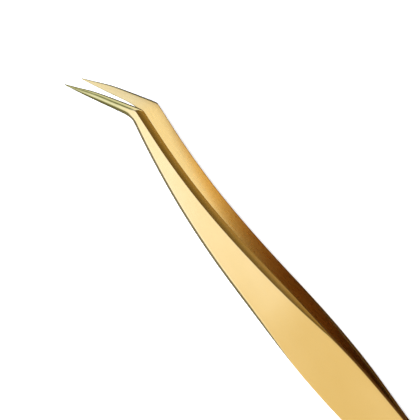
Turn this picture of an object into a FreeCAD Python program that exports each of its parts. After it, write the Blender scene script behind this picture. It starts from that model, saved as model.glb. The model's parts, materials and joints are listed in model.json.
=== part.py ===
# Bent-tip fine-point tweezers: two bowed spring-steel arms, bevelled along both sides, spot welded
# face to face at the heel. X runs from the heel to the points, Y lies in the plane of the arms
# (the points bend towards +Y), Z is the closing direction. The pair lies on its lower arm.
import FreeCAD, Part
import math
import os
import Sketcher
from FreeCAD import Placement, Rotation, Vector

doc = FreeCAD.newDocument("tweezers")

# ---------------------------------------------------------------- driving dimensions (mm, degrees)
DIMENSIONS = {
    "strip_thickness": 0.95,
    "edge_break": 0.06,
    "heel_end_x": -107.4,
    "heel_half_width": 3.7,
    "weld_front_x": -79.5,
    "weld_front_half_width": 4.42,
    "weld_spot_diameter": 3.2,
    "weld_spot_height": 0.6,
    "weld_spot_rear_x": -98.0,
    "weld_spot_front_x": -87.0,
    "electrode_mark_diameter": 4.0,
    "electrode_mark_depth": 0.08,
    "rest_pitch": 2.495,
}

# Cross-sections of one arm, heel to point: station x, side edge on the outside of the bend, side edge
# on the inside of the bend, half of the open gap, strip thickness, and the width of the 45 degree
# bevel along each of those two sides.
ROOT_SECTIONS = (
    (-79.5, -4.42, 4.42, 0.000, 0.95, 0.06, 0.06),
    (-77.5, -4.50, 4.50, 0.027, 0.95, 0.06, 0.06),
    (-75.5, -4.57, 4.57, 0.106, 0.95, 0.06, 0.06),
    (-72.5, -4.68, 4.68, 0.326, 0.95, 0.06, 0.06),
    (-68.0, -4.84, 4.84, 0.744, 0.95, 0.06, 0.06),
    (-62.0, -4.94, 4.97, 1.302, 0.95, 0.06, 0.06),
)
GRIP_SECTIONS = (
    (-62.0, -4.94, 4.97, 1.302, 0.95, 0.06, 0.06),
    (-58.0, -4.82, 4.93, 1.674, 0.95, 0.06, 0.06),
    (-55.0, -4.71, 4.85, 1.953, 0.95, 0.10, 0.10),
    (-50.0, -4.52, 4.69, 2.409, 0.95, 0.45, 0.45),
    (-45.0, -4.24, 4.47, 2.719, 0.95, 0.77, 0.77),
)
NECK_SECTIONS = (
    (-45.0, -4.24, 4.47, 2.719, 0.95, 0.77, 0.77),
    (-38.0, -3.73, 4.12, 2.932, 0.95, 0.88, 0.88),
    (-30.0, -3.27, 3.54, 3.118, 0.95, 0.88, 0.88),
    (-20.0, -3.15, 2.29, 3.292, 0.95, 0.88, 0.88),
    (-10.0, -3.75, 0.36, 3.413, 0.95, 0.88, 0.88),
    (-3.0, -4.60, -1.38, 3.476, 0.95, 0.88, 0.88),
    (-0.9, -4.87, -1.86, 3.494, 0.95, 0.86, 0.86),
)
POINT_SECTIONS = (
    (-0.9, -4.87, -1.86, 3.494, 0.95, 0.86, 0.86),
    (1.5, -3.55, -1.24, 3.513, 0.95, 0.45, 0.72),
    (4.0, -2.07, 0.00, 3.532, 0.92, 0.42, 0.66),
    (8.0, 0.43, 1.98, 3.561, 0.75, 0.30, 0.45),
    (11.0, 2.70, 3.40, 3.582, 0.48, 0.14, 0.22),
    (12.75, 4.01, 4.21, 3.593, 0.30, 0.05, 0.08),
)
SECTION_FIELDS = ("x", "outer_y", "inner_y", "gap", "thick", "outer_bevel", "inner_bevel")
SECTION_GROUPS = {
    "root": ROOT_SECTIONS, "grip": GRIP_SECTIONS, "neck": NECK_SECTIONS, "point": POINT_SECTIONS,
}

sheet = doc.addObject("Spreadsheet::Sheet", "dims")
next_row = 1


def put(alias, value):
    """Write one named driving dimension into the sheet."""
    global next_row
    sheet.set(f"A{next_row}", alias)
    sheet.set(f"B{next_row}", str(value))
    sheet.setAlias(f"B{next_row}", alias)
    next_row += 1


for alias, value in DIMENSIONS.items():
    put(alias, value)
for group, rows in SECTION_GROUPS.items():
    for index, row in enumerate(rows):
        for field, value in zip(SECTION_FIELDS, row):
            put(f"{group}_{index}_{field}", value)
doc.recompute()


# ---------------------------------------------------------------- helpers
def new_body(label):
    """An empty body whose label is the name of the sub-part."""
    body = doc.addObject("PartDesign::Body", label)
    body.Label = label
    return body


def new_sketch(body, name, plane, offset=None):
    """A sketch on one of the body's own origin planes, moved along its normal if asked."""
    sketch = body.newObject("Sketcher::SketchObject", name)
    support = next(item for item in body.Origin.OriginFeatures if item.Role == plane)
    sketch.AttachmentSupport = [(support, "")]
    sketch.MapMode = "FlatFace"
    if offset is not None:
        sketch.setExpression(".AttachmentOffset.Base.z", offset)
    return sketch


def polygon(sketch, corners):
    """A closed polygon whose corner coordinates are sheet expressions."""
    count = len(corners)
    points = [Vector(sheet_value(u), sheet_value(v), 0) for u, v in corners]
    for i in range(count):
        sketch.addGeometry(Part.LineSegment(points[i], points[(i + 1) % count]))
    for i in range(count):
        sketch.addConstraint(Sketcher.Constraint("Coincident", i, 2, (i + 1) % count, 1))
    for i, (u, v) in enumerate(corners):
        bind_point(sketch, i, 1, u, v)


def bind_point(sketch, geometry, position, u, v):
    """Drive both coordinates of a sketch point from the sheet."""
    drive(sketch, ("DistanceX", -1, 1, geometry, position), u)
    drive(sketch, ("DistanceY", -1, 1, geometry, position), v)


def drive(sketch, constraint, expression):
    """Add one dimensional constraint whose value is a sheet expression."""
    number = sketch.addConstraint(Sketcher.Constraint(*constraint, sheet_value(expression)))
    sketch.setExpression(f"Constraints[{number}]", expression)


def sheet_value(expression):
    """The present value of a sheet expression."""
    return float(sheet.evalExpression(expression.replace("dims.", "")))


def section(body, group, index, side):
    """One arm cross-section: flat gap face, flat outer face, and a bevel along each side."""
    cell = {field: f"dims.{group}_{index}_{field}" for field in SECTION_FIELDS}
    near = f"{side} * ({cell['gap']})"
    far = f"{side} * ({cell['gap']} + {cell['thick']})"
    outer_knee = f"{side} * ({cell['gap']} + {cell['thick']} - {cell['outer_bevel']})"
    inner_knee = f"{side} * ({cell['gap']} + {cell['thick']} - {cell['inner_bevel']})"
    sketch = new_sketch(body, f"{body.Label}_{group}_{index}", "YZ_Plane", cell["x"])
    polygon(sketch, (
        (cell["outer_y"], near),
        (cell["inner_y"], near),
        (cell["inner_y"], inner_knee),
        (f"{cell['inner_y']} - {cell['inner_bevel']}", far),
        (f"{cell['outer_y']} + {cell['outer_bevel']}", far),
        (cell["outer_y"], outer_knee),
    ))
    return sketch


def add_loft(body, group, side):
    """Skin one run of cross-sections into the body."""
    sketches = [section(body, group, index, side) for index in range(len(SECTION_GROUPS[group]))]
    doc.recompute()
    loft = body.newObject("PartDesign::AdditiveLoft", f"{body.Label}_{group}_loft")
    loft.Profile = sketches[0]
    loft.Sections = sketches[1:]
    loft.Ruled = False
    doc.recompute()
    return loft


def build_root(label, side):
    """The stretch of an arm that flexes, just ahead of the weld."""
    body = new_body(label)
    add_loft(body, "root", side)
    return body


def build_blade(label, side):
    """Grip, neck, bend and needle point of an arm."""
    body = new_body(label)
    add_loft(body, "grip", side)
    add_loft(body, "neck", side)
    add_loft(body, "point", side)
    return body


def circles(sketch, diameter):
    """Two circles on the heel's axis, one at each weld spot."""
    for index, centre in enumerate(("dims.weld_spot_rear_x", "dims.weld_spot_front_x")):
        middle = Vector(sheet_value(centre), 0, 0)
        sketch.addGeometry(Part.Circle(middle, Vector(0, 0, 1), sheet_value(diameter) / 2))
        sketch.addConstraint(Sketcher.Constraint("PointOnObject", index, 3, -1))
        drive(sketch, ("DistanceX", -1, 1, index, 3), centre)
        drive(sketch, ("Diameter", index), diameter)


def build_tang(label, side):
    """The flat welded end of an arm, with its round heel, nugget seats and electrode marks."""
    body = new_body(label)
    outline = new_sketch(body, f"{label}_outline", "XY_Plane")
    front = sheet_value("dims.weld_front_x")
    half_front = sheet_value("dims.weld_front_half_width")
    half_heel = sheet_value("dims.heel_half_width")
    rear = sheet_value("dims.heel_end_x") + half_heel
    outline.addGeometry(Part.LineSegment(Vector(rear, -half_heel, 0), Vector(front, -half_front, 0)))
    outline.addGeometry(Part.LineSegment(Vector(front, -half_front, 0), Vector(front, half_front, 0)))
    outline.addGeometry(Part.LineSegment(Vector(front, half_front, 0), Vector(rear, half_heel, 0)))
    heel_circle = Part.Circle(Vector(rear, 0, 0), Vector(0, 0, 1), half_heel)
    outline.addGeometry(Part.ArcOfCircle(heel_circle, math.pi / 2, 3 * math.pi / 2))
    for first, second in ((0, 1), (1, 2), (2, 3)):
        outline.addConstraint(Sketcher.Constraint("Coincident", first, 2, second, 1))
    outline.addConstraint(Sketcher.Constraint("Coincident", 3, 2, 0, 1))
    rear_x = "dims.heel_end_x + dims.heel_half_width"
    bind_point(outline, 0, 1, rear_x, "-dims.heel_half_width")
    bind_point(outline, 1, 1, "dims.weld_front_x", "-dims.weld_front_half_width")
    bind_point(outline, 2, 1, "dims.weld_front_x", "dims.weld_front_half_width")
    bind_point(outline, 2, 2, rear_x, "dims.heel_half_width")
    drive(outline, ("DistanceX", -1, 1, 3, 3), rear_x)
    doc.recompute()

    plate = body.newObject("PartDesign::Pad", f"{label}_plate")
    plate.Profile = outline
    plate.setExpression("Length", "dims.strip_thickness")
    plate.Reversed = side < 0
    doc.recompute()

    seats = new_sketch(body, f"{label}_seats", "XY_Plane")
    circles(seats, "dims.weld_spot_diameter")
    doc.recompute()
    seat_cut = body.newObject("PartDesign::Pocket", f"{label}_nugget_seats")
    seat_cut.Profile = seats
    seat_cut.setExpression("Length", "dims.weld_spot_height / 2")
    seat_cut.Reversed = side > 0
    doc.recompute()

    marks = new_sketch(body, f"{label}_marks", "XY_Plane", f"{side} * dims.strip_thickness")
    circles(marks, "dims.electrode_mark_diameter")
    doc.recompute()
    mark_cut = body.newObject("PartDesign::Pocket", f"{label}_electrode_marks")
    mark_cut.Profile = marks
    mark_cut.setExpression("Length", "dims.electrode_mark_depth")
    mark_cut.Reversed = side < 0
    doc.recompute()

    # The rim of the outer face, apart from the front edge, which runs on into the root.
    outer_z = side * sheet_value("dims.strip_thickness")
    rim = []
    for index, edge in enumerate(mark_cut.Shape.Edges, start=1):
        box = edge.BoundBox
        in_outer_face = abs(box.ZMin - outer_z) < 1e-6 and abs(box.ZMax - outer_z) < 1e-6
        if in_outer_face and not edge.isClosed() and box.XMin < front - 1e-3:
            rim.append(f"Edge{index}")
    breaks = body.newObject("PartDesign::Chamfer", f"{label}_edge_break")
    breaks.Base = (mark_cut, rim)
    breaks.setExpression("Size", "dims.edge_break")
    doc.recompute()
    return body


def build_weld_spots(label):
    """The two fused nuggets, half of each in either heel."""
    body = new_body(label)
    discs = new_sketch(body, f"{label}_discs", "XY_Plane")
    circles(discs, "dims.weld_spot_diameter")
    doc.recompute()
    nuggets = body.newObject("PartDesign::Pad", f"{label}_nuggets")
    nuggets.Profile = discs
    nuggets.setExpression("Length", "dims.weld_spot_height")
    nuggets.SideType = "Symmetric"
    doc.recompute()
    return body


# ---------------------------------------------------------------- sub-parts
bodies = []
for arm, side in (("upper", 1), ("lower", -1)):
    bodies.append(build_tang(f"{arm}_tang", side))
    bodies.append(build_root(f"{arm}_root", side))
    bodies.append(build_blade(f"{arm}_blade", side))
bodies.append(build_weld_spots("weld_spots"))

# ---------------------------------------------------------------- rest pose
# The pair is pitched so that it lies on the heel's lower rim and the belly of the lower arm, and is
# then set over the origin: middle of its bounding box in X and Y, floor at Z = 0.
pitch = Rotation(Vector(0, 1, 0), -sheet_value("dims.rest_pitch"))
extent = FreeCAD.BoundBox()
for body in bodies:
    body.Placement = Placement(Vector(0, 0, 0), pitch)
    extent.add(body.Shape.optimalBoundingBox(False))
shift = Vector(-extent.Center.x, -extent.Center.y, -extent.ZMin)
for body in bodies:
    body.Placement = Placement(shift, pitch)
doc.recompute()

# ---------------------------------------------------------------- checks and export
for item in doc.Objects:
    if {"Invalid", "Error"} & set(item.State):
        raise RuntimeError(f"{item.Label} did not compute: {item.State}")
os.makedirs("parts", exist_ok=True)
for body in bodies:
    shape = body.Shape
    if shape.isNull() or not shape.isValid():
        raise RuntimeError(f"{body.Label} has no valid shape")
    shape.exportStep(f"parts/{body.Label}.step")
    box = shape.BoundBox
    print(f"{body.Label:12s} solids {len(shape.Solids)} volume {shape.Volume:9.3f}"
          f"  x {box.XMin:8.3f} {box.XMax:8.3f}  y {box.YMin:7.3f} {box.YMax:7.3f}"
          f"  z {box.ZMin:7.3f} {box.ZMax:7.3f}")
print("shift", tuple(round(value, 4) for value in shift))
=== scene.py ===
import json
import math

import bmesh
import bpy
import numpy as np
from mathutils import Matrix, Vector


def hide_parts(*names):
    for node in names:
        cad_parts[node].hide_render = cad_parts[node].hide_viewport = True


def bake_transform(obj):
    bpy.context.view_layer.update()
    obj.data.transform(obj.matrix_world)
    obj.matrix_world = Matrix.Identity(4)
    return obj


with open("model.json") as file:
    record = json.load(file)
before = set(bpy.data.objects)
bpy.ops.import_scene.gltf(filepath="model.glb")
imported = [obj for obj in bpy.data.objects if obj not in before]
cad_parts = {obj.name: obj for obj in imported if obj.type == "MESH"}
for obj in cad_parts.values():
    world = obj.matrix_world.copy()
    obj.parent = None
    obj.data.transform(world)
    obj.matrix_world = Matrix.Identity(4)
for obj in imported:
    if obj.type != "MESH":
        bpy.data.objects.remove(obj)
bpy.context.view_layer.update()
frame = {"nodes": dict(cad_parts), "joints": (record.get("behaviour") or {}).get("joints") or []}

scene = bpy.context.scene
MM = 0.001

# ------------------------------------------------------------------ the arm, in its own frame (mm)
# x runs from heel to point, y lies in the plane of the arm, z is the height above the closing plane.
PITCH = math.radians(-2.495)
FLEX_PIVOT = Vector((-73.5, 0.0, 0.7))
TO_ROW = Matrix.Rotation(PITCH, 4, "Y")
upper_joint = next(j for j in frame["joints"] if j["name"] == "upper_flex")
SHIFT = Vector(upper_joint["pos_m"]) / MM - TO_ROW @ FLEX_PIVOT

HEEL_END, HEEL_RADIUS, WELD_FRONT, ROOT_FRONT = -107.39, 3.7, -79.5, -62.0
WELD_SPOTS, MARK_RADIUS, MARK_DEPTH = (-98.0, -87.0), 2.0, 0.07
POINT_X = 12.75
NECK_BEVEL = 0.90                                  # bevel width on the neck's side of the bend
BEVEL_CHANGE = 0.25                                # length each side of the bend over which it changes
BEND_EASE = 7.0                                    # length over which the stations shift to the bend
OUTER_REACH, OUTER_FACE_REACH = 0.55, 0.45         # rounding each way outside the bend
FACE_NOTCH_EXTRA = 0.4                             # added rounding of the face's line inside the bend
NOTCHES = {"upper": 1.35, "lower": 4.3}            # rounding each way inside the bend
END_LENGTH = 0.12                                  # rounded end of the needle point
SLOPE_STEP = 0.01
PAST_POINT = 14.0                                  # where the tables of the whole arm stop
MERGE_DISTANCE = 2e-7                              # in metres

# x, side on the outside of the bend, side on the inside of the bend
ARM_OUTLINE = np.array([
    (-103.7, -3.70, 3.70), (-94.0, -3.95, 3.95), (-84.0, -4.25, 4.25), (-79.5, -4.42, 4.42),
    (-75.5, -4.57, 4.57), (-72.5, -4.68, 4.68), (-68.0, -4.84, 4.84), (-64.0, -4.93, 4.95),
    (-61.0, -4.92, 4.96), (-58.0, -4.82, 4.93), (-55.0, -4.71, 4.85), (-50.0, -4.52, 4.69),
    (-45.0, -4.24, 4.47), (-38.0, -3.73, 4.12), (-30.0, -3.27, 3.54), (-20.0, -3.15, 2.29),
    (-10.0, -3.75, 0.36), (-3.0, -4.60, -1.38), (-0.9, -4.87, -1.98),
])
POINT_OUTLINE = np.array([
    (-0.9, -4.87, -2.34), (0.4, -4.20, -1.76), (1.5, -3.55, -1.24), (4.0, -2.07, 0.00),
    (8.0, 0.43, 1.98), (11.0, 2.70, 3.40), (12.75, 4.01, 4.21),
])
# x, bevel width on the arm: a plain edge at the grip that runs out into a ground bevel
ARM_BEVEL = np.array([
    (-107.4, 0.06), (-57.0, 0.06), (-54.5, 0.12), (-51.7, 0.33), (-48.5, 0.57), (-45.0, 0.76),
    (-41.0, 0.87), (-37.0, 0.90), (0.5, 0.90),
])
# x, bevel width outside the bend and inside it
POINT_BEVEL = np.array([
    (-1.5, 0.46, 0.80), (1.5, 0.41, 0.72), (4.0, 0.39, 0.66), (8.0, 0.28, 0.46), (11.0, 0.13, 0.22),
    (12.75, 0.05, 0.08),
])
THICKNESS = np.array([
    (-107.4, 0.95), (1.5, 0.95), (4.0, 0.92), (8.0, 0.75), (11.0, 0.48), (12.75, 0.30),
])
# x, slope of the arm away from the closing plane
BOW = np.array([
    (-79.5, 0.0), (-72.5, 0.093), (-51.5, 0.093), (-43.5, 0.031), (-30.0, 0.020), (-10.0, 0.0095),
    (PAST_POINT, 0.006),
])


def smooth(x, knots, values):
    """Cubic through the knots with finite-difference tangents, straight beyond the ends."""
    x = np.asarray(x, float)
    chord = np.diff(values) / np.diff(knots)
    step = np.diff(knots)
    inner = (chord[:-1] * step[1:] + chord[1:] * step[:-1]) / (step[:-1] + step[1:])
    tangent = np.concatenate(([chord[0]], inner, [chord[-1]]))
    i = np.clip(np.searchsorted(knots, x) - 1, 0, len(knots) - 2)
    h = step[i]
    t = np.clip((x - knots[i]) / h, 0, 1)
    y = (values[i] * (1 + 2 * t) * (1 - t) ** 2 + values[i + 1] * t * t * (3 - 2 * t)
         + h * (tangent[i] * t * (1 - t) ** 2 - tangent[i + 1] * t * t * (1 - t)))
    return y + tangent[0] * np.minimum(x - knots[0], 0) + tangent[-1] * np.maximum(x - knots[-1], 0)


def half_gap(x):
    """Height of the arm's inner face: the slope integrated from the front of the weld."""
    fine = np.linspace(WELD_FRONT, PAST_POINT, 3921)
    slope = np.interp(fine, BOW[:, 0], BOW[:, 1])
    height = np.concatenate(([0.0], np.cumsum((slope[1:] + slope[:-1]) / 2 * np.diff(fine))))
    return np.interp(x, fine, height)


def table(x, rows, column=1):
    return np.interp(x, rows[:, 0], rows[:, column])


# ------------------------------------------------------------------ plan curves of one arm
# Stations: u < 0 along the arm, u > 0 along the point, u = 0 at the bend.
POINT_RUN = 13.0
heel_turn = np.radians(np.linspace(0, 90, 19))[:-1]
u_heel = HEEL_END + HEEL_RADIUS * (1 - np.cos(heel_turn))
u_arm = np.concatenate((
    np.arange(HEEL_END + HEEL_RADIUS, -4.0, 0.28), np.arange(-4.0, -0.4, 0.12)))
u_bend = np.linspace(-0.4, 0.4, 17)
u_point = np.concatenate((
    np.arange(0.5, 4.0, 0.14), np.arange(4.0, POINT_RUN - END_LENGTH, 0.16)))
u_end = POINT_RUN - END_LENGTH * np.cos(np.linspace(0, math.pi / 2, 6))
STATIONS = np.concatenate((u_heel, u_arm, u_bend, u_point, u_end))


def side_curve(side, inset_share, corner, reach):
    """One long edge of the arm in plan: the outline moved in by a share of the bevel width.
    side is -1 outside the bend and 1 inside it; reach is the length rounded each way at the bend."""
    column = 1 if side < 0 else 2

    def line(x, outline, bevel):
        y = smooth(x, outline[:, 0], outline[:, column])
        slope = (smooth(x + SLOPE_STEP, outline[:, 0], outline[:, column]) - y) / SLOPE_STEP
        return y - side * inset_share * bevel * np.sqrt(1 + slope ** 2)

    def on_arm(x):
        return line(x, ARM_OUTLINE, table(x, ARM_BEVEL))

    def on_point(x):
        return line(x, POINT_OUTLINE, table(x, POINT_BEVEL, column))

    def base(u):
        u = np.asarray(u, float)
        near = np.clip(1 + u / BEND_EASE, 0, 1)
        arm_x = u + corner * near ** 2
        point_x = corner + (POINT_X - corner) * u / POINT_RUN
        x = np.where(u < 0, arm_x, point_x)
        y = np.where(u < 0, on_arm(arm_x), on_point(point_x))
        return np.stack((x, y), 1)

    xy = base(STATIONS)
    if reach > 0:
        inside = np.abs(STATIONS) < reach
        t = ((STATIONS[inside] / reach + 1) / 2)[:, None]
        a, b = base([-reach])[0], base([reach])[0]
        bend_x = np.array([corner])
        middle = np.array([corner, 0.5 * (on_arm(bend_x)[0] + on_point(bend_x)[0])])
        xy[inside] = (1 - t) ** 2 * a + 2 * t * (1 - t) * middle + t * t * b
    # the round heel
    n = len(heel_turn)
    r = HEEL_RADIUS - inset_share * ARM_BEVEL[0, 1]
    xy[:n, 0] = HEEL_END + HEEL_RADIUS - r * np.cos(heel_turn)
    xy[:n, 1] = side * r * np.sin(heel_turn)
    return xy


def meeting(side, inset_share):
    """x where the arm's and the point's lines of one long edge cross."""
    column = 1 if side < 0 else 2
    xs = np.linspace(-2.5, 1.5, 4001)
    arm = smooth(xs, ARM_OUTLINE[:, 0], ARM_OUTLINE[:, column])
    point = smooth(xs, POINT_OUTLINE[:, 0], POINT_OUTLINE[:, column])
    arm_slope = np.gradient(arm, xs)
    point_slope = np.gradient(point, xs)
    arm = arm - side * inset_share * table(xs, ARM_BEVEL) * np.sqrt(1 + arm_slope ** 2)
    point = point - side * inset_share * table(xs, POINT_BEVEL, column) * np.sqrt(1 + point_slope ** 2)
    return xs[np.argmin(np.abs(arm - point))]


def plan_edges(notch):
    """The four long edges in plan; notch is the length rounded each way inside the bend."""
    return (
        side_curve(-1, 0.0, meeting(-1, 0.0), OUTER_REACH),
        side_curve(-1, 1.0, meeting(-1, 1.0), OUTER_FACE_REACH),
        side_curve(1, 0.0, meeting(1, 0.0), notch),
        side_curve(1, 1.0, meeting(1, 1.0), notch + FACE_NOTCH_EXTRA),
    )


def arm_points(notch):
    """Corner points of every section: 6 corners, each (stations, 3)."""
    outer_side, outer_face, inner_side, inner_face = plan_edges(notch)

    def at(xy, lift):
        z = half_gap(xy[:, 0])
        thick = table(xy[:, 0], THICKNESS)
        return np.column_stack((xy, z + lift(thick)))

    def depth(xy, column):
        on_point = table(xy[:, 0], POINT_BEVEL, column)
        away_from_bend = np.where(STATIONS > 0, on_point, table(xy[:, 0], ARM_BEVEL))
        share = np.clip((STATIONS + BEVEL_CHANGE) / (2 * BEVEL_CHANGE), 0, 1)
        at_bend = NECK_BEVEL * (1 - share) + on_point * share
        return np.where(np.abs(STATIONS) < BEVEL_CHANGE, at_bend, away_from_bend)

    outer_depth, inner_depth = depth(outer_side, 1), depth(inner_side, 2)
    return [
        at(outer_side, lambda t: 0 * t),
        at(inner_side, lambda t: 0 * t),
        at(inner_side, lambda t: t - inner_depth),
        at(inner_face, lambda t: t),
        at(outer_face, lambda t: t),
        at(outer_side, lambda t: t - outer_depth),
    ]


ROUND = (0.04, 0.04, 0.05, 0.07, 0.14, 0.05)      # edge radii at the six corners, mm
CORNER_SHARE = 0.45                                # the most of a side that one rounding may take
CROWN, CROWN_WIDTH = 0.03, 1.2                     # bulge of the bevel outside the bend, at that width
CROWN_WAY = (-0.707, 0.707)                        # square to that bevel, in y and z
CREASE_WIDTH = 0.20                                # reach of the painted crease shade beside an edge, mm
STEPS = 4                                          # points that round each corner
COLUMNS = (22, 0, 3, 22, 9, 0)                     # extra points along the side that follows each corner


def arm_grid(notch):
    """Closed section rings with rounded corners, plus what each point belongs to."""
    corners = arm_points(notch)
    count = len(corners)
    ring, rim, ground, inside, crease = [], [], [], [], []
    for k in range(count):
        here, before, after = corners[k], corners[k - 1], corners[(k + 1) % count]
        to_before, to_after = before - here, after - here
        len_before = np.linalg.norm(to_before, axis=1, keepdims=True)
        len_after = np.linalg.norm(to_after, axis=1, keepdims=True)
        radius = np.minimum(ROUND[k], CORNER_SHARE * np.minimum(len_before, len_after))
        a = here + to_before / np.maximum(len_before, 1e-9) * radius
        b = here + to_after / np.maximum(len_after, 1e-9) * radius
        for s in np.linspace(0, 1, STEPS):
            ring.append((1 - s) ** 2 * a + 2 * s * (1 - s) * here + s * s * b)
            rim.append(1.0 if 0 < s < 1 else 0.6)
            ground.append(0.5 if k in (2, 3, 4, 5) else 0.0)
            inside.append(0.5 if k in (0, 1) else 0.0)
            # crease: the share of painted crease shade, full at the rounded corners and fading across
            # each side
            crease.append(np.ones(len(here)))
        len_follow = np.linalg.norm(corners[(k + 2) % count] - after, axis=1, keepdims=True)
        next_radius = np.minimum(
            ROUND[(k + 1) % count], CORNER_SHARE * np.minimum(len_after, len_follow))
        c = after - to_after / np.maximum(len_after, 1e-9) * next_radius
        width = np.linalg.norm(c - b, axis=1)
        crown = np.zeros_like(b)
        if k == 4:
            crown[:, 1:] = CROWN * (width[:, None] / CROWN_WIDTH) ** 2 * CROWN_WAY
        for s in np.linspace(0, 1, COLUMNS[k] + 2)[1:-1]:
            ring.append(b * (1 - s) + c * s + crown * 4 * s * (1 - s))
            crease.append(np.clip(1 - min(s, 1 - s) * width / CREASE_WIDTH, 0, 1))
            rim.append(0.0)
            ground.append(1.0 if k in (2, 4) else 0.0)
            inside.append(1.0 if k == 0 else 0.0)
    return np.stack(ring, 1), rim, ground, inside, np.stack(crease, 1)


def add_marks(points, top):
    """Shallow dished electrode marks over the two weld spots, on the arm's outer face.
    Returns how far each point belongs to a mark."""
    mark = np.zeros(points.shape[:2])
    for centre in WELD_SPOTS:
        r = np.hypot(points[..., 0] - centre, points[..., 1]) / MARK_RADIUS
        # a nearly flat floor with a steep wall, and a low raised lip just outside it
        dish = np.where(r < 1, -(1 - r ** 6) * 0.8 - 0.2 * (1 - np.minimum(r, 1)), 0)
        lip = 0.16 * np.exp(-((r - 1.06) / 0.07) ** 2)
        points[..., 2] += np.where(top, MARK_DEPTH * (dish + lip), 0)
        mark = np.maximum(mark, np.where(top, np.clip((1.14 - r) / 0.2, 0, 1), 0))
    return mark


def close_point(points):
    """Rounds the very end of the needle point."""
    start = len(STATIONS) - len(u_end)
    for i in range(start, len(STATIONS)):
        share = (STATIONS[i] - STATIONS[start]) / END_LENGTH
        shrink = math.sqrt(max(0.0, 1 - share ** 2))
        middle = points[i].mean(0)
        points[i] = middle + (points[i] - middle) * max(shrink, 0.02)


def build_arm(name, side, notch):
    """One arm as a closed mesh from heel to needle end; side is 1 for the upper, -1 for the lower."""
    points, rim, ground, inside, crease = arm_grid(notch)
    top = np.zeros(points.shape[1], bool)
    first = 3 * STEPS + COLUMNS[0] + COLUMNS[1] + COLUMNS[2]
    top[first:first + 2 * STEPS + COLUMNS[3]] = True
    mark = add_marks(points, top[None, :])
    close_point(points)
    rows, columns = points.shape[:2]
    along = np.repeat(STATIONS[:, None], columns, 1)
    across = np.concatenate((np.zeros((rows, 1)), np.cumsum(np.linalg.norm(
        np.diff(points, axis=1), axis=2), 1)), 1)
    flat = points.reshape(-1, 3).copy()
    flat[:, 2] *= side
    faces = []
    for i in range(rows - 1):
        for j in range(columns):
            a, b = i * columns + j, i * columns + (j + 1) % columns
            quad = (a, b, b + columns, a + columns)
            faces.append(quad if side > 0 else quad[::-1])
    last = [(rows - 1) * columns + j for j in range(columns)]
    faces.append(tuple(last) if side > 0 else tuple(last[::-1]))
    row_points = [(TO_ROW @ Vector(p) + SHIFT) * MM for p in flat]
    mesh = bpy.data.meshes.new(name)
    mesh.from_pydata(row_points, [], faces)
    for label, values in (
        ("rim", np.tile(rim, rows)),
        ("ground", np.tile(ground, rows)),
        ("inside", np.tile(inside, rows)),
        ("along", along.ravel()),
        ("across", across.ravel()),
        ("mark", mark.ravel()),
        ("crease", crease.ravel()),
    ):
        attribute = mesh.attributes.new(label, "FLOAT", "POINT")
        attribute.data.foreach_set("value", np.asarray(values, np.float32))
    arm = bpy.data.objects.new(name, mesh)
    scene.collection.objects.link(arm)
    merge_points(mesh)
    mesh.shade_smooth()
    weighted = arm.modifiers.new("weighted", "WEIGHTED_NORMAL")
    weighted.weight = 80
    return arm


def merge_points(mesh):
    """Joins the points that coincide where a section has shrunk to nothing."""
    work = bmesh.new()
    work.from_mesh(mesh)
    bmesh.ops.remove_doubles(work, verts=work.verts, dist=MERGE_DISTANCE)
    bmesh.ops.recalc_face_normals(work, faces=work.faces)
    work.to_mesh(mesh)
    work.free()


# ------------------------------------------------------------------ materials
class Nodes:
    """Short ways to add and link nodes in one shader tree."""

    def __init__(self, tree):
        self.new, self.link = tree.nodes.new, tree.links.new

    def feed(self, socket, value):
        """A tuple is a colour, a number a fixed value, anything else the output that feeds it."""
        if isinstance(value, tuple):
            socket.default_value = (*value, 1)
        elif isinstance(value, (int, float)):
            socket.default_value = value
        else:
            self.link(value, socket)

    def math(self, operation, first, second):
        n = self.new("ShaderNodeMath")
        n.operation = operation
        self.feed(n.inputs[0], first)
        self.feed(n.inputs[1], second)
        return n.outputs[0]

    def remap(self, value, low, high, to_low=0.0, to_high=1.0, interpolation="LINEAR"):
        n = self.new("ShaderNodeMapRange")
        n.interpolation_type = interpolation
        n.inputs["From Min"].default_value = low
        n.inputs["From Max"].default_value = high
        n.inputs["To Min"].default_value = to_low
        n.inputs["To Max"].default_value = to_high
        self.link(value, n.inputs["Value"])
        return n.outputs["Result"]

    def mix(self, factor, first, second, kind="RGBA"):
        n = self.new("ShaderNodeMix")
        n.data_type = kind
        self.link(factor, n.inputs["Factor"])
        self.feed(n.inputs["A"], first)
        self.feed(n.inputs["B"], second)
        return n.outputs["Result"]

    def noise(self, vector, scale, detail=2.0, rough=0.5):
        n = self.new("ShaderNodeTexNoise")
        n.inputs["Scale"].default_value = scale
        n.inputs["Detail"].default_value = detail
        n.inputs["Roughness"].default_value = rough
        self.link(vector, n.inputs["Vector"])
        return n.outputs["Fac"]


def new_material(name):
    material = bpy.data.materials.new(name)
    material.use_nodes = True
    tree = material.node_tree
    tree.nodes.clear()
    output = tree.nodes.new("ShaderNodeOutputMaterial")
    shader = tree.nodes.new("ShaderNodeBsdfPrincipled")
    tree.links.new(shader.outputs["BSDF"], output.inputs["Surface"])
    return material, Nodes(tree), shader


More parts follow.
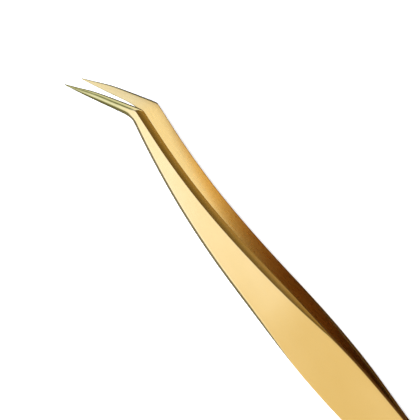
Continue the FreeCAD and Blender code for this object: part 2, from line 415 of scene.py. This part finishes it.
def gold():
    material, nodes, shader = new_material("titanium_gold")

    def read(label):
        n = nodes.new("ShaderNodeAttribute")
        n.attribute_name = label
        return n.outputs["Fac"]

    along, across, rim = read("along"), read("across"), read("rim")
    ground, inside, mark = read("ground"), read("inside"), read("mark")

    crease = read("crease")

    def grain(along_scale, across_scale, detail, rough):
        """Noise in the arm's own coordinates, so that it follows the arm."""
        n = nodes.new("ShaderNodeCombineXYZ")
        nodes.link(nodes.math("MULTIPLY", along, along_scale), n.inputs["X"])
        nodes.link(nodes.math("MULTIPLY", across, across_scale), n.inputs["Y"])
        return nodes.noise(n.outputs["Vector"], 1.0, detail, rough)

    face_lines = grain(0.35, 9.0, 4.0, 0.6)
    facet_lines = grain(11.0, 0.5, 3.0, 0.6)
    drift = grain(0.06, 0.12, 2.0, 0.5)
    specks = grain(1.6, 1.6, 5.0, 0.7)
    lines = nodes.mix(ground, face_lines, facet_lines, "FLOAT")

    # the faces: painted shade on the gap side between the arms, darker towards the heel; the needle
    # point paler
    face = nodes.mix(nodes.remap(drift, 0.3, 0.7), (0.79, 0.535, 0.205), (0.83, 0.575, 0.245))
    shaded_gap_side = nodes.mix(nodes.remap(along, -41.0, -22.0), (0.54, 0.30, 0.06), (0.75, 0.47, 0.14))
    face = nodes.mix(inside, face, shaded_gap_side)
    on_point = nodes.remap(along, -0.6, 3.5)
    point_tone = nodes.mix(inside, (0.57, 0.46, 0.175), (0.68, 0.49, 0.20))
    face = nodes.mix(nodes.math("MULTIPLY", on_point, 0.9), face, point_tone)

    # the edges: a pale painted highlight on the arm's rounded edges, speckled like wear, and dark
    # painted crease shade along the edges of the needle point
    edge_highlight_and_crease_shade = nodes.math("MULTIPLY", rim, nodes.remap(specks, 0.35, 0.75, 0.05, 0.5))
    past_bend = nodes.remap(along, -0.3, 0.9)
    crease_shade_depth = nodes.remap(along, 6.0, 12.0, 0.75, 0.5)
    painted_crease_shade = nodes.math("MULTIPLY", nodes.math("MULTIPLY", crease, past_bend), crease_shade_depth)
    edge_highlight_and_crease_shade = nodes.math("ADD", edge_highlight_and_crease_shade, painted_crease_shade)
    edge_highlight_and_shade_tone = nodes.mix(past_bend, (0.84, 0.64, 0.36), (0.20, 0.17, 0.04))

    # the brown heat tint of the electrode marks
    heat_tint = nodes.math("MULTIPLY", mark, nodes.remap(specks, 0.3, 0.7, 0.35, 0.8))
    # the face tone with the painted edge highlight and crease shade, then the heat tint of the marks
    colour = nodes.mix(heat_tint, nodes.mix(edge_highlight_and_crease_shade, face, edge_highlight_and_shade_tone), (0.52, 0.30, 0.09))
    nodes.link(colour, shader.inputs["Base Color"])

    rough = nodes.math(
        "ADD", nodes.remap(lines, 0.3, 0.7, 0.17, 0.25), nodes.remap(specks, 0.45, 0.8, 0.0, 0.05))
    rough = nodes.math("ADD", rough, nodes.math("MULTIPLY", inside, 0.07))
    rough = nodes.math("ADD", rough, nodes.math("MULTIPLY", mark, 0.14))
    nodes.link(rough, shader.inputs["Roughness"])
    shader.inputs["Metallic"].default_value = 1.0

    bump = nodes.new("ShaderNodeBump")
    bump.inputs["Strength"].default_value = 0.10
    bump.inputs["Distance"].default_value = 0.00002
    nodes.link(lines, bump.inputs["Height"])
    nodes.link(bump.outputs["Normal"], shader.inputs["Normal"])
    return material


def weld_steel():
    material, nodes, shader = new_material("weld_steel")
    shader.inputs["Metallic"].default_value = 1.0
    place = nodes.new("ShaderNodeTexCoord").outputs["Object"]
    spots = nodes.noise(place, 1800)
    ramp = nodes.new("ShaderNodeValToRGB")
    ramp.color_ramp.elements[0].color = (0.36, 0.32, 0.28, 1)
    ramp.color_ramp.elements[1].color = (0.62, 0.58, 0.53, 1)
    nodes.link(spots, ramp.inputs["Fac"])
    nodes.link(ramp.outputs["Color"], shader.inputs["Base Color"])
    nodes.link(nodes.remap(spots, 0.0, 1.0, 0.35, 0.6), shader.inputs["Roughness"])
    return material


gold_material = gold()
for arm_name, side in (("upper", 1), ("lower", -1)):
    arm = build_arm(f"{arm_name}_arm_strip", side, NOTCHES[arm_name])
    arm.data.materials.append(gold_material)
    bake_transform(arm)
    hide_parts(f"{arm_name}_tang", f"{arm_name}_root", f"{arm_name}_blade")

nuggets = frame["nodes"]["weld_spots"]
nuggets.data.materials.clear()
nuggets.data.materials.append(weld_steel())

# ------------------------------------------------------------------ floor, light, camera
TILT, TURN, ROLL = math.radians(25.0), math.radians(12.6), math.radians(28.0)
PX_PER_MM, FRAME_PX = 5.4, 420
DISTANCE, SENSOR = 0.45, 36
LOOK_AT = Vector((-22.55, -0.87, 0))               # in the arm's own frame, mm
FLOOR_DROP, MAT_DROP = 0.00002, 0.00001            # in metres
BESIDE_NECK, PATCH_SIZE = (0.034, 0.0050, 0.0), (0.031, 0.010, 1.0)


def level_sheet(name, half, drop, material):
    """A level square just below the object, for staging."""
    mesh = bpy.data.meshes.new(name)
    corners = [(-half, -half, 0), (half, -half, 0), (half, half, 0), (-half, half, 0)]
    mesh.from_pydata(corners, [], [(0, 1, 2, 3)])
    mesh.materials.append(material)
    sheet = bpy.data.objects.new(name, mesh)
    sheet.location.z = -drop
    scene.collection.objects.link(sheet)
    return sheet


# A white floor that glows a little, so that it is as bright as the backdrop.
floor_material, _, floor_shader = new_material("pale_floor")
floor_shader.inputs["Base Color"].default_value = (0.86, 0.86, 0.86, 1)
floor_shader.inputs["Roughness"].default_value = 0.9
floor_shader.inputs["Specular IOR Level"].default_value = 0.1
floor_shader.inputs["Emission Color"].default_value = (1, 1, 1, 1)
floor_shader.inputs["Emission Strength"].default_value = 0.55
floor = level_sheet("floor", 3, FLOOR_DROP, floor_material)

# A dark mat that only reflections see: it gives the gold its dark side walls and undersides. It is
# brown on one side of the arms and grey-green on the other, with a glowing patch beside the neck.
mat_material, mat_nodes, mat_shader = new_material("dark_mat")
place = mat_nodes.new("ShaderNodeTexCoord").outputs["Object"]
split = mat_nodes.new("ShaderNodeSeparateXYZ")
mat_nodes.link(place, split.inputs["Vector"])
across_arms = mat_nodes.remap(split.outputs["Y"], -0.004, 0.012)
sides = mat_nodes.mix(across_arms, (0.085, 0.042, 0.014), (0.135, 0.15, 0.12))
patch_shape = mat_nodes.new("ShaderNodeMapping")
patch_shape.vector_type = "TEXTURE"
patch_shape.inputs["Location"].default_value = BESIDE_NECK
patch_shape.inputs["Scale"].default_value = PATCH_SIZE
mat_nodes.link(place, patch_shape.inputs["Vector"])
patch = mat_nodes.new("ShaderNodeTexGradient")
patch.gradient_type = "QUADRATIC_SPHERE"
mat_nodes.link(patch_shape.outputs["Vector"], patch.inputs["Vector"])
mat_colour = mat_nodes.mix(patch.outputs["Fac"], sides, (1.0, 0.95, 0.85))
mat_nodes.link(mat_colour, mat_shader.inputs["Base Color"])
mat_nodes.link(patch.outputs["Fac"], mat_shader.inputs["Emission Strength"])
mat_shader.inputs["Emission Color"].default_value = (0.8, 1.5, 3.0, 1)
mat_shader.inputs["Roughness"].default_value = 1.0
mat_shader.inputs["Specular IOR Level"].default_value = 0.0
mat = level_sheet("reflected_mat", 0.4, MAT_DROP, mat_material)
mat.visible_camera = mat.visible_diffuse = mat.visible_shadow = mat.visible_transmission = False

overhead_data = bpy.data.lights.new("overhead", "AREA")
overhead_data.size = 1.6
overhead_data.energy = 24.0
overhead = bpy.data.objects.new("overhead", overhead_data)
overhead.location.z = 1.3
overhead.visible_glossy = False
scene.collection.objects.link(overhead)

away = Vector((math.cos(TURN), -math.sin(TURN), 0))
beside = Vector((math.sin(TURN), math.cos(TURN), 0))
leaning = beside * math.cos(TILT) + Vector((0, 0, 1)) * math.sin(TILT)
right = -away * math.sin(ROLL) - leaning * math.cos(ROLL)
up = away * math.cos(ROLL) - leaning * math.sin(ROLL)
back = right.cross(up)
turn_to_row = TO_ROW.to_3x3()
right, up, back = (turn_to_row @ v for v in (right, up, back))
target = (TO_ROW @ LOOK_AT + SHIFT) * MM

camera_data = bpy.data.cameras.new("camera")
camera_data.sensor_width = SENSOR
camera_data.lens = SENSOR * DISTANCE / (FRAME_PX / PX_PER_MM * MM)
camera_data.clip_start, camera_data.clip_end = 0.01, 20
camera = bpy.data.objects.new("camera", camera_data)
scene.collection.objects.link(camera)
camera.matrix_world = Matrix.Translation(target + back * DISTANCE) @ Matrix(
    (right, up, back)).transposed().to_4x4()
scene.camera = camera

world = bpy.data.worlds.new("studio")
scene.world = world
world.use_nodes = True
world.node_tree.nodes.clear()
sky = Nodes(world.node_tree)
sky_out = sky.new("ShaderNodeOutputWorld")
sky_light = sky.new("ShaderNodeBackground")
sky.link(sky_light.outputs["Background"], sky_out.inputs["Surface"])
where = sky.new("ShaderNodeTexCoord").outputs["Generated"]


def sky_dot(direction):
    n = sky.new("ShaderNodeVectorMath")
    n.operation = "DOT_PRODUCT"
    sky.link(where, n.inputs[0])
    n.inputs[1].default_value = direction
    return n.outputs["Value"]


def sky_step(value, low, high):
    return sky.remap(value, low, high, interpolation="SMOOTHSTEP")


# Soft light all round, cooler and brighter past the points, with a brown dark side towards the camera.
along_x = sky_dot((1, 0, 0))
light = sky.mix(sky_step(along_x, -0.16, 0.00), (1.01, 0.97, 0.76), (1.19, 1.22, 1.12))
light = sky.mix(sky_step(along_x, -0.05, 0.08), light, (1.50, 1.80, 2.70))
light = sky.mix(sky_step(along_x, 0.15, 0.50), light, (1.14, 1.36, 1.75))
camera_side = Vector((back.x, back.y, 0)).normalized()
height = sky_dot((0, 0, 1))
height_squared = sky.math("MULTIPLY", height, height)
level = sky.math("POWER", sky.math("SUBTRACT", 1.0001, height_squared), 0.5)
heading = sky.math("DIVIDE", sky_dot(tuple(camera_side)), level)
wedge = sky.math("MULTIPLY", sky_step(heading, 0.60, 0.90), sky_step(height, 0.995, 0.93))
wedge_tone = sky.mix(sky_step(height, 0.38, 0.48), (0.40, 0.295, 0.095), (0.21, 0.15, 0.035))
light = sky.mix(wedge, light, wedge_tone)
around = sky_step(
    sky_dot(tuple(back)), math.cos(math.radians(43)), math.cos(math.radians(31)))
light = sky.mix(around, light, (0.17, 0.125, 0.03))
sky.link(light, sky_light.inputs["Color"])

scene.view_settings.view_transform = "Standard"
scene.view_settings.look = "None"
